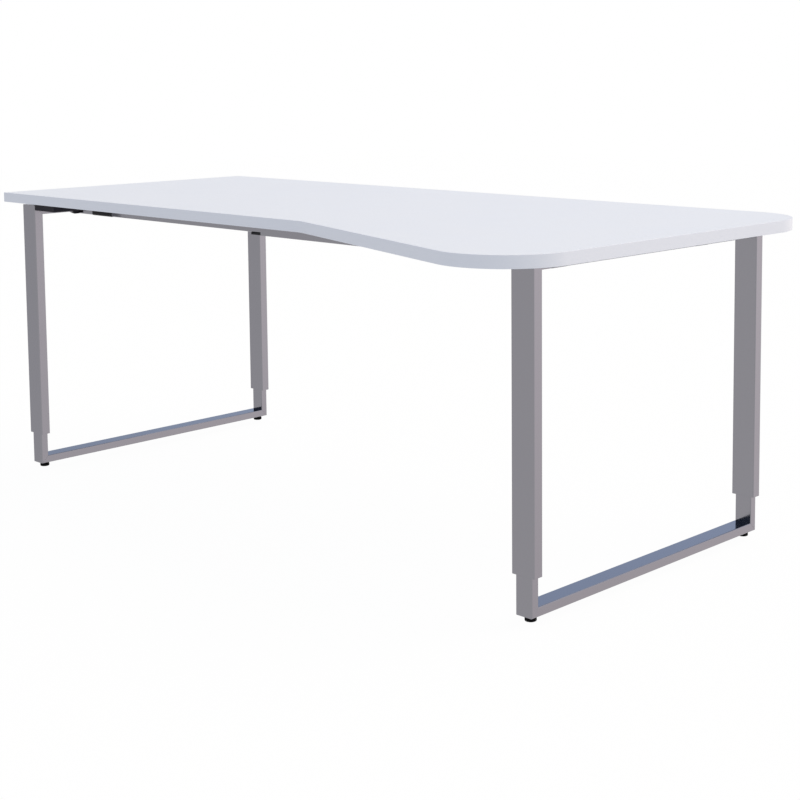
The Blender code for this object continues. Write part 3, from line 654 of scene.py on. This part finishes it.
def worktop_outline(worktop, inset, steps=28):
    """Plan of the worktop, anticlockwise from the back left corner, drawn in by inset.

    Straight edges, joined by arcs centre + r (cos t, sin t). The slanted edge touches both the
    bend's arc, whose centre lies outside, and the front corner's, whose centre lies inside.
    """
    low, high = box_of("edge_band")
    narrow_front = high[1] - worktop.narrow_depth
    bend = np.array([low[0] + worktop.straight_front, narrow_front - worktop.bend_radius])
    front = np.array([high[0] - worktop.front_corner, low[1] + worktop.front_corner])
    back = high[:2] - worktop.back_corner
    span = front - bend
    reach = worktop.bend_radius + worktop.front_corner
    slant = math.atan2(span[1], span[0]) - math.asin(reach / math.hypot(*span))
    quarter = math.pi / 2
    left = low[0] + inset
    parts = [np.array([[left, high[1] - inset], [left, narrow_front + inset]])]
    for centre, radius, first, last in (
        (bend, worktop.bend_radius + inset, quarter, quarter + slant),
        (front, worktop.front_corner - inset, slant - quarter, 0),
        (back, worktop.back_corner - inset, 0, quarter),
    ):
        turn = np.linspace(first, last, steps)
        parts.append(centre + radius * np.column_stack([np.cos(turn), np.sin(turn)]))
    return np.concatenate(parts)


class DESK_OT_worktop(bpy.types.Operator):
    """Makes the laminated board and the edging that runs round it"""

    bl_idname = "desk.worktop"
    bl_label = "Worktop"

    def execute(self, context):
        worktop = context.scene.desk_worktop
        bottom, top = (corner[2] for corner in box_of("edge_band"))
        seam = chamfered(bottom, top, worktop.seam)
        board = [(worktop.band + offset, height) for offset, height in seam]
        self.piece("worktop_laminate", board, "white_laminate", "worktop_board", worktop)
        turn = np.linspace(0, np.pi / 2, 6)
        insets = worktop.arris * (1 - np.cos(turn))
        drops = worktop.arris * (1 - np.sin(turn))
        edging = [(worktop.band - offset, height) for offset, height in seam]
        edging += [(inset, top - drop) for inset, drop in zip(insets[::-1], drops[::-1])]
        edging += [(inset, bottom + drop) for inset, drop in zip(insets, drops)]
        self.piece("worktop_edging", edging, "white_edging", "edge_band", worktop, hollow=True)
        return {"FINISHED"}

    def piece(self, name, profile, slot, node, worktop, hollow=False):
        """The worktop's plan, drawn in and raised at each step of a profile."""
        rings = [raised(worktop_outline(worktop, inset), height) for inset, height in profile]
        make_piece(name, [shell(rings, "z", (0, 0, 0), hollow)], slot, TOP_BODY, [node])


# Frame

class DESK_OT_leg_loops(bpy.types.Operator):
    """Makes the outer tubes, side rails, uprights and floor runners, mitred to each other"""

    bl_idname = "desk.leg_loops"
    bl_label = "Leg loops"

    def execute(self, context):
        sizes = context.scene.desk_frame
        upper = sizes.tube_corner, -1
        lower = sizes.upright_corner, 1
        for side in SIDES:
            rail, runner, base = "side_rail_" + side, "floor_runner_" + side, "base_" + side
            self.level("rail_" + side, rail, TOP_BODY, *upper)
            self.level("runner_" + side, runner, base, *lower)
            for end in ENDS:
                place = f"{end}_{side}"
                self.standing("leg_tube_" + place, "outer_tube_" + place, rail, end, TOP_BODY, *upper)
                self.standing("upright_" + place, "inner_upright_" + place, runner, end, base, *lower)
        return {"FINISHED"}

    def level(self, name, node, body, corner, rise):
        """Tube mitred at both ends; rise is 1 where its loop goes up from it, or -1."""
        low, high = box_of(node)
        size = (high[0] - low[0], high[2] - low[2])
        cuts = (low[1] + size[1] / 2, rise), (high[1] - size[1] / 2, -rise)
        self.tube(name, node, body, size, corner, cuts, "y")

    def standing(self, name, node, joined, end, body, corner, rise):
        """Tube with one square end; the other is mitred, from the joined tube's outer face."""
        low, high = box_of(node)
        size = (high - low)[:2]
        face = box_of(joined)[0 if rise > 0 else 1][2]
        mitre = (face + rise * size[1] / 2, rise * INWARD_Y[end])
        square = (high[2] if rise > 0 else low[2], 0)
        self.tube(name, node, body, size, corner, (mitre, square)[::rise], "z")

    def tube(self, name, node, body, size, corner, cuts, axis):
        """Rectangular tube in silver, cut at a place and a slope at each end."""
        sizes = bpy.context.scene.desk_frame
        centre = centre_line(node, axis)
        part = tube_shell(size, sizes.tube_wall, corner, *cuts, sizes.rim, axis, centre)
        make_piece(name, [part], "silver_frame", body, [node])


def beam_row(end):
    """Middle of one cross beam along Y, taken where no screw widens its solid."""
    return centre_line(f"{end}_beam_inner", "x")[1]


class DESK_OT_beams(bpy.types.Operator):
    """Makes the telescoping cross beams, their brackets and the screws that hold them"""

    bl_idname = "desk.beams"
    bl_label = "Cross beams"

    def execute(self, context):
        sizes = context.scene.desk_frame
        for end in ENDS:
            self.beam(end, "inner", "slim", sizes)
            self.beam(end, "outer", "wide", sizes)
            self.sleeve(end, sizes)
            self.collar(end, sizes)
            self.length_screw(end, sizes)
            for side in SIDES:
                self.bracket(end, side, sizes)
        return {"FINISHED"}

    def section(self, end, half, sizes):
        """Middle and size across the inner or outer half of a beam, without its sleeve."""
        low, high = box_of(f"{end}_beam_{half}")
        around = sizes.sleeve_wall if half == "inner" else 0
        row = beam_row(end)
        size = np.array([2 * (row - low[1]), high[2] - low[2]]) - 2 * around
        return np.array([0, row, (low[2] + high[2]) / 2]), size

    def beam(self, end, half, build, sizes):
        """One half of a beam, a square-cut tube."""
        node = f"{end}_beam_{half}"
        low, high = box_of(node)
        middle, size = self.section(end, half, sizes)
        part = tube_shell(size, sizes.beam_wall, sizes.beam_corner, (low[0], 0),
                          (high[0], 0), sizes.rim, "x", middle)
        make_piece(f"{end}_beam_{build}", [part], "silver_frame", TOP_BODY, [node])

    def sleeve(self, end, sizes):
        """Thin black sleeve that the slim half wears near its bracket."""
        wall = sizes.sleeve_wall
        middle, slim = self.section(end, "inner", sizes)
        start = box_of(f"{end}_beam_inner")[0][0] + sizes.sleeve_start
        part = tube_shell(slim + 2 * wall, wall, sizes.beam_corner + wall, (start, 0),
                          (start + sizes.sleeve_length, 0), wall / 4, "x", middle)
        make_piece(f"{end}_beam_sleeve", [part], "black_plastic", TOP_BODY)

    def collar(self, end, sizes):
        """Moulded bush in the wide half's mouth, and the lip that the slim half lies on."""
        node, fit = f"{end}_beam_collar", sizes.fit
        low, high = box_of(node)
        mouth = box_of(f"{end}_beam_outer")[0][0] - fit
        middle, wide = self.section(end, "outer", sizes)
        slim = self.section(end, "inner", sizes)[1]
        bush = wide - 2 * (sizes.beam_wall + fit)
        part = tube_shell(bush, (bush - slim) / 2 - fit, sizes.beam_corner, (mouth, 0),
                          (high[0], 0), fit, "x", middle)
        make_piece(f"{end}_beam_bush", [part], "black_plastic", TOP_BODY, [node])
        across = slim[0] / 2
        top = middle[2] - slim[1] / 2 - fit
        lip = [(-across, low[2]), (across, low[2]), (across, top), (-across, top)]
        part = prism_shell(lip, 2 * fit, low[0], mouth - fit / 2, fit, "x", (0, middle[1], 0))
        make_piece(f"{end}_beam_lip", [part], "black_plastic", TOP_BODY)

    def length_screw(self, end, sizes):
        """Pan-head screw in the back of the wide half, near its mouth."""
        middle, wide = self.section(end, "outer", sizes)
        mouth = box_of(f"{end}_beam_outer")[0][0]
        part = pan_head(middle[1] + wide[0] / 2, 1, "y",
                        (mouth + sizes.length_screw_place, 0, middle[2]), **LENGTH_SCREW)
        make_piece(f"{end}_length_screw", [part], "zinc_steel", TOP_BODY)

    def bracket(self, end, side, sizes):
        """Tray under the worktop, hook on the rail, plug in the beam, and two screws."""
        node, name = f"beam_bracket_{end}_{side}", f"bracket_{end}_{side}"
        low, high = box_of(node)
        rail_low, rail_high = box_of("side_rail_" + side)
        inward, onward, fit = INWARD_X[side], INWARD_Y[end], sizes.fit
        # A pair that is read with a step of -1 is turned round, on the right and at the back
        tip, far = (low[0], high[0])[::inward]
        face = (rail_low[0], rail_high[0])[::inward][1] + inward * fit
        seat = face + inward * sizes.bracket_plate
        row = beam_row(end)
        half_beam = self.section(end, "outer", sizes)[1][0] / 2

        leg = (low[1], high[1])[::onward][0]
        beam = row - onward * (half_beam + sizes.tray_beam_gap)
        tray = tray_shell(
            (abs(far - face), abs(beam - leg)), TRAY_CORNER, sizes.bracket_plate,
            high[2] + fit - sizes.bracket_drop, high[2], TRAY_FOLD,
            ((far + face) / 2, (beam + leg) / 2, 0))

        under_rail, top = rail_low[2] - fit, rail_high[2]
        section = [(tip, under_rail), (tip, under_rail - HOOK_EDGE), (face, low[2]),
                   (seat, low[2]), (seat, top), (face, top), (face, under_rail)]
        reach = half_beam + sizes.bracket_margin
        hook = prism_shell(section, HOOK_ROUND, row - reach, row + reach, HOOK_ROUND, "y", (0, 0, 0))

        middle, size = self.section(end, "inner" if side == "left" else "outer", sizes)
        bore = size - 2 * (sizes.beam_wall + fit)
        ends = sorted((seat, seat + inward * sizes.plug_depth))
        plug = plate_shell(bore, PLUG_CORNER, *ends, PLUG_RIM, "x", middle)

        height = rail_low[2] + sizes.bracket_screw_height
        aside = half_beam + sizes.bracket_margin / 2
        screws = [pan_head(seat, inward, "x", (0, place, height), **BRACKET_SCREW)
                  for place in (row - aside, row + aside)]

        make_piece(name, [tray], "black_coat", TOP_BODY, [node])
        for part, shells in (("_hook", [hook]), ("_plug", [plug]), ("_screws", screws)):
            make_piece(name + part, shells, "black_coat", TOP_BODY)


class DESK_OT_lugs(bpy.types.Operator):
    """Makes the steel lugs under the worktop and their screws"""

    bl_idname = "desk.lugs"
    bl_label = "Worktop lugs"

    def execute(self, context):
        for place in CORNERS:
            self.lug(place)
            for number in ("_1", "_2"):
                self.screw(place + number)
        return {"FINISHED"}

    def lug(self, place):
        """Plate with round corners and a fine chamfer."""
        node = "worktop_lug_" + place
        low, high = box_of(node)
        plate = plate_shell((high - low)[:2], LUG_CORNER, low[2], high[2], LUG_RIM, "z",
                            centre_line(node, "z"))
        make_piece("lug_" + place, [plate], "zinc_steel", TOP_BODY, [node])

    def screw(self, place):
        """Pan-head screw up into the board, whose head faces the floor."""
        node = "worktop_screw_" + place
        head, start, end = turned_span(node, "z")
        seat = start + BOARD_SCREW["proud"]
        part = pan_head(seat, -1, "z", centre_line(node, "z"), head=head, depth=end - seat,
                        **BOARD_SCREW)
        make_piece("board_screw_" + place, [part], "zinc_steel", TOP_BODY, [node])


class DESK_OT_height_clamps(bpy.types.Operator):
    """Makes the rivet nuts and the socket-head screws that clamp the set height"""

    bl_idname = "desk.height_clamps"
    bl_label = "Height clamps"

    def execute(self, context):
        for place in CORNERS:
            node = "clamp_nut_" + place
            nut = flanged_sleeve(node, "x", **RIVET_NUT)
            make_piece("rivet_nut_" + place, [nut], "zinc_steel", TOP_BODY, [node])
            node = "clamp_screw_" + place
            screw = self.screw(node, **CLAMP_SCREW)
            make_piece("height_clamp_" + place, [screw], "zinc_steel", "clamp_" + place, [node])
        return {"FINISHED"}

    def screw(self, node, thick, shank, socket, tip):
        """Button head with a hexagon socket as deep as its radius, and a shank with a point.

        The button is a quarter of an ellipse: r (0.42 + 0.58 sin t) at 0.7 h (1 - cos t).
        """
        head, start, end = turned_span(node, "x")
        seat = start + thick
        turn = np.linspace(0.15, 1, 6) * np.pi / 2
        button = zip(head * (0.42 + 0.58 * np.sin(turn)),
                     start + 0.7 * thick * (1 - np.cos(turn)))
        profile = [
            (socket, start + socket, hexagon), (socket, start, hexagon), *button,
            (head, seat), (shank, seat), (shank, end - tip), (0.6 * shank, end),
        ]
        return turned_shell(profile, "x", centre_line(node, "x"))


class DESK_OT_feet(bpy.types.Operator):
    """Makes the levelling feet with their threads, and the inserts they screw into"""

    bl_idname = "desk.feet"
    bl_label = "Levelling feet"

    def execute(self, context):
        pitch = context.scene.desk_frame.thread_pitch
        for place in CORNERS:
            self.foot(place, pitch)
            node, side = "foot_insert_" + place, place.split("_")[1]
            insert = flanged_sleeve(node, "z", **FOOT_INSERT)
            make_piece("threaded_insert_" + place, [insert], "zinc_steel", "base_" + side, [node])
        return {"FINISHED"}

    def foot(self, place, pitch):
        """Round pad, ribbed on its rim for the fingers, with a moulded collar and a thread."""
        node, body = "levelling_foot_" + place, "foot_" + place
        radius, floor, top = turned_span(node, "z")
        centre = centre_line(node, "z")
        # In mm, how far the rim draws in and the height, then the collar's radius and the height
        rim = ((1.6, 0), (0.5, 0.5), (0, 1.6, ribbed), (0, 6.2, ribbed), (0.6, 7.4), (1.8, 8))
        collar = ((6.2, 8), (5.6, 8.6), (4.6, 8.6))
        profile = [(radius - inset * MM, floor + height * MM, *form)
                   for inset, height, *form in rim]
        profile += [(reach * MM, floor + height * MM) for reach, height in collar]
        pad = turned_shell(profile, "z", centre, sides=4 * FOOT_RIBS)
        # The pad's finish is black plastic darkened as painted shade, for the shade under the runner
        make_piece("foot_pad_" + place, [pad], "black_plastic", body, [node],
                   black_foot_painted_shade)
        stem = thread_shell(THREAD_RADIUS, THREAD_DEPTH, pitch, floor + THREAD_START, top, "z",
                            centre)
        make_piece("foot_thread_" + place, [stem], "zinc_steel", body)


class DESK_OT_guides(bpy.types.Operator):
    """Gives the plastic guides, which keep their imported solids, their moulded finish"""

    bl_idname = "desk.guides"
    bl_label = "Guides"

    def execute(self, context):
        for kept in ("guide_sleeve_", "guide_shoe_"):
            for place in CORNERS:
                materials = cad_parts[kept + place].data.materials
                materials.clear()
                materials.append(made_finish(black_nylon))
        return {"FINISHED"}


# Studio

# Linear light of the fields that the metal mirrors, which give each face of a tube its tone
WALL = (0.953, 0.924, 0.930, 1.0)
LEFT_WALL = (0.79, 0.775, 0.80, 1.0)
WINDOW_FOOT = (0.99, 0.90, 0.91, 1.0)
WINDOW_HEAD = (1.63, 1.50, 1.52, 1.0)
CEILING = (0.52, 0.62, 0.85, 1.0)
LEFT_CEILING = (0.40, 0.47, 0.62, 1.0)
DARK_CORNER = (0.032, 0.050, 0.095, 1.0)
SKYLIGHT = (1.25, 1.22, 1.28, 1.0)
WHITE = (1.0, 1.0, 1.0, 1.0)

# Where they lie: a direction, and how far a ray points in it where a field begins and is full
TO_LEFT = ((-1.0, 0.0, 0.0), 0.60, 0.95)
TO_WINDOW = ((0.5, 0.86, 0.0), 0.60, 1.0)
UP_WINDOW = ((0.0, 0.0, 1.0), -0.60, 0.15)
TO_CORNER = ((-0.70, -0.71, 0.0), 0.55, 0.85)
OVER_CORNER = ((0.0, 0.0, 1.0), 0.33, 0.37)
TO_SKYLIGHT = ((0.35, 0.25, 0.90), 0.55, 0.85)
OVER_HORIZON = ((0.0, 0.0, 1.0), 0.05, 0.16)

# Even light on the desk, a little cooler than grey, and the broad light's place
AMBIENT_TINT = (0.965, 1.0, 1.073)
KEY_DIRECTION = (-0.440, -0.460, -0.771)
KEY_DISTANCE = 4

# The floor, and the share of its look that is plain white to the camera; the rest shows shade
FLOOR_HALF = 12.0
FLOOR_GLOW = 0.97


def blended(tree, share, low, high):
    """Colour that turns from low to high as a share goes from 0 to 1."""
    return add_node(tree, "ShaderNodeMix", {0: share, 6: low, 7: high},
                    data_type="RGBA").outputs[2]


def field(tree, region, low, high):
    """Light low, which turns to high in a region: a smooth step of direction . ray."""
    direction, begins, full = region
    ray = add_node(tree, "ShaderNodeTexCoord").outputs["Generated"]
    dot = add_node(tree, "ShaderNodeVectorMath", {0: ray, 1: direction}, operation="DOT_PRODUCT")
    share = add_node(tree, "ShaderNodeMapRange", {
        "Value": dot.outputs["Value"], "From Min": begins, "From Max": full,
    }, interpolation_type="SMOOTHSTEP")
    return blended(tree, share.outputs["Result"], low, high)


class DESK_OT_studio(bpy.types.Operator):
    """Makes the pale floor, the soft lights, the white surroundings and the camera"""

    bl_idname = "desk.studio"
    bl_label = "Studio"

    def execute(self, context):
        studio = context.scene.desk_studio
        context.scene.view_settings.view_transform = "Standard"
        self.floor(context, studio)
        self.surroundings(context, studio)
        self.soft_light(context, studio)
        self.camera(context, studio)
        return {"FINISHED"}

    def floor(self, context, studio):
        """Level sheet, white to a camera above it and clear to one below, with a trace of shade."""
        material, tree, output = new_material("studio_paper")
        path = add_node(tree, "ShaderNodeLightPath")
        paper = add_node(tree, "ShaderNodeBsdfDiffuse", {"Color": linear("#F4F4F6")})
        glow = add_node(tree, "ShaderNodeEmission", {"Color": linear("#FFFFFF")})
        share = add_node(tree, "ShaderNodeMath", {0: path.outputs["Is Camera Ray"], 1: FLOOR_GLOW},
                         operation="MULTIPLY")
        mixed = add_node(tree, "ShaderNodeMixShader", {
            0: share.outputs[0], 1: paper.outputs[0], 2: glow.outputs[0],
        })
        under = add_node(tree, "ShaderNodeNewGeometry").outputs["Backfacing"]
        clear = add_node(tree, "ShaderNodeBsdfTransparent")
        sided = add_node(tree, "ShaderNodeMixShader", {
            0: under, 1: mixed.outputs[0], 2: clear.outputs[0],
        })
        tree.links.new(sided.outputs[0], output.inputs["Surface"])
        corners = [(x * FLOOR_HALF, y * FLOOR_HALF, studio.floor_level)
                   for x, y in ((-1, -1), (1, -1), (1, 1), (-1, 1))]
        mesh = bpy.data.meshes.new("studio_floor")
        mesh.from_pydata(corners, [], [(0, 1, 2, 3)])
        mesh.materials.append(material)
        sheet = bpy.data.objects.new("studio_floor", mesh)
        context.scene.collection.objects.link(sheet)
        sheet.visible_glossy = False
        sheet.visible_diffuse = False

    def surroundings(self, context, studio):
        """White to the camera; soft, faintly tinted fields that the metal mirrors."""
        world = bpy.data.worlds.new("white_room")
        context.scene.world = world
        world.use_nodes = True
        tree = world.node_tree
        tree.nodes.clear()
        path = add_node(tree, "ShaderNodeLightPath")
        wall = field(tree, TO_LEFT, WALL, LEFT_WALL)
        window = field(tree, UP_WINDOW, WINDOW_FOOT, WINDOW_HEAD)
        sides = field(tree, TO_WINDOW, wall, window)
        ceiling = field(tree, TO_LEFT, CEILING, LEFT_CEILING)
        low_ceiling = field(tree, TO_CORNER, ceiling, DARK_CORNER)
        ceiling = field(tree, OVER_CORNER, low_ceiling, ceiling)
        ceiling = field(tree, TO_SKYLIGHT, ceiling, SKYLIGHT)
        mirrored = field(tree, OVER_HORIZON, sides, ceiling)
        ambient = (*(tint * studio.ambient for tint in AMBIENT_TINT), 1.0)
        lit = blended(tree, path.outputs["Is Glossy Ray"], ambient, mirrored)
        seen = blended(tree, path.outputs["Is Camera Ray"], lit, WHITE)
        back = add_node(tree, "ShaderNodeBackground", {"Color": seen})
        output = add_node(tree, "ShaderNodeOutputWorld")
        tree.links.new(back.outputs[0], output.inputs["Surface"])

    def soft_light(self, context, studio):
        """Broad light from above the wide end, which the glossy metal doesn't mirror."""
        data = bpy.data.lights.new("broad_light", "SUN")
        data.energy = studio.key
        data.angle = studio.key_spread
        data.color = linear(studio.key_colour)[:3]
        light = bpy.data.objects.new("broad_light", data)
        towards_desk = Vector(KEY_DIRECTION)
        light.rotation_euler = towards_desk.to_track_quat("-Z", "Y").to_euler()
        light.location = -KEY_DISTANCE * towards_desk
        light.visible_glossy = False
        context.scene.collection.objects.link(light)

    def camera(self, context, studio):
        """Camera from yaw, pitch, roll and a focal length in pixels, with the lens shift."""
        data = bpy.data.cameras.new("photo_camera")
        data.sensor_width = 36.0
        data.lens = studio.focal_pixels / IMAGE_SIZE * data.sensor_width
        data.shift_x = (IMAGE_SIZE / 2 - studio.centre_pixels[0]) / IMAGE_SIZE
        data.shift_y = (studio.centre_pixels[1] - IMAGE_SIZE / 2) / IMAGE_SIZE
        data.clip_start = 0.05
        data.clip_end = 60.0
        camera = bpy.data.objects.new("photo_camera", data)
        heading = Matrix.Rotation(studio.yaw, 4, "Z")
        tilt = Matrix.Rotation(math.pi / 2 - studio.pitch, 4, "X")
        spin = Matrix.Rotation(studio.roll, 4, "Z")
        camera.matrix_world = Matrix.Translation(Vector(studio.eye)) @ heading @ tilt @ spin
        context.scene.collection.objects.link(camera)
        context.scene.camera = camera


# Add-on

OPERATORS = (
    DESK_OT_worktop, DESK_OT_leg_loops, DESK_OT_beams, DESK_OT_lugs,
    DESK_OT_height_clamps, DESK_OT_feet, DESK_OT_guides, DESK_OT_studio,
)
SETTINGS = {
    "desk_looks": DeskLooks, "desk_worktop": DeskWorktop, "desk_frame": DeskFrame,
    "desk_studio": DeskStudio,
}


class DESK_PT_panel(bpy.types.Panel):
    """Lists the desk's settings and operators"""

    bl_label = "Height-adjustable desk"
    bl_idname = "DESK_PT_panel"
    bl_space_type = "VIEW_3D"
    bl_region_type = "UI"
    bl_category = "Desk"

    def draw(self, context):
        for operator in OPERATORS:
            self.layout.operator(operator.bl_idname)
        for name, settings in SETTINGS.items():
            box = self.layout.box()
            for key in settings.__annotations__:
                box.prop(getattr(context.scene, name), key)


def register():
    for settings in SETTINGS.values():
        bpy.utils.register_class(settings)
    for operator in (*OPERATORS, DESK_PT_panel):
        bpy.utils.register_class(operator)
    for name, settings in SETTINGS.items():
        setattr(bpy.types.Scene, name, PointerProperty(type=settings))


def unregister():
    for name in SETTINGS:
        delattr(bpy.types.Scene, name)
    for operator in (DESK_PT_panel, *reversed(OPERATORS)):
        bpy.utils.unregister_class(operator)
    for settings in SETTINGS.values():
        bpy.utils.unregister_class(settings)


def main():
    """Registers the add-on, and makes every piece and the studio."""
    register()
    bpy.ops.desk.worktop()
    bpy.ops.desk.leg_loops()
    bpy.ops.desk.beams()
    bpy.ops.desk.lugs()
    bpy.ops.desk.height_clamps()
    bpy.ops.desk.feet()
    bpy.ops.desk.guides()
    bpy.ops.desk.studio()


if __name__ == "__main__":
    main()
